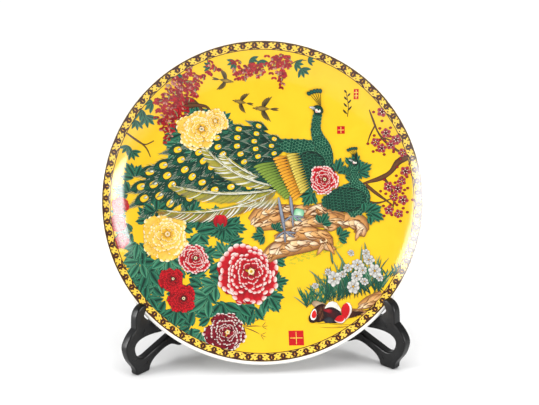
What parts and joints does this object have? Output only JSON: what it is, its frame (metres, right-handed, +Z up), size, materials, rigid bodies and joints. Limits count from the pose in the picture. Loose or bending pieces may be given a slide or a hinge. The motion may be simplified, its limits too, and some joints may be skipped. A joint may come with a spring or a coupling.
{
  "type": "display plate on folding stand",
  "caption": "Round decorated porcelain display plate leaning in a folding black plastic plate stand.",
  "frame": {"origin": "on the floor under the middle of the object's width and depth", "axes": "+Z up, -Y the way the plate's face looks, +X to the right as seen from the front"},
  "size_m": [0.26, 0.1136, 0.2523],
  "materials": {
    "porcelain": "clear gloss glaze over yellow enamel, white rim and back",
    "frame_plastic": "satin black moulding",
    "pin_steel": "drawn wire"
  },
  "bodies": {
    "hinge": {"lower_hinge_pin": "pin_steel", "upper_hinge_pin": "pin_steel"},
    "plate": {"plate": "porcelain"},
    "left_bracket": {"left_frame": "frame_plastic"},
    "right_bracket": {"right_frame": "frame_plastic"}
  },
  "joints": [
    {"name": "plate_lift", "type": "slide", "parent": "hinge", "child": "plate", "axis": [0, 0.1736, 0.9848], "range_m": [0, 0.45]},
    {"name": "left_fold", "type": "hinge", "parent": "hinge", "child": "left_bracket", "pos_m": [0, 0.05223, 0.08], "axis": [0, 0, 1], "range_deg": [0, 45]},
    {"name": "right_fold", "type": "hinge", "parent": "hinge", "child": "right_bracket", "pos_m": [0, 0.05223, 0.08], "axis": [0, 0, -1], "range_deg": [0, 45]}
  ],
  "couplings": [
    {"joint": "left_fold", "follows": "plate_lift", "rad_per_m": 1.7453},
    {"joint": "right_fold", "follows": "plate_lift", "rad_per_m": 1.7453}
  ]
}
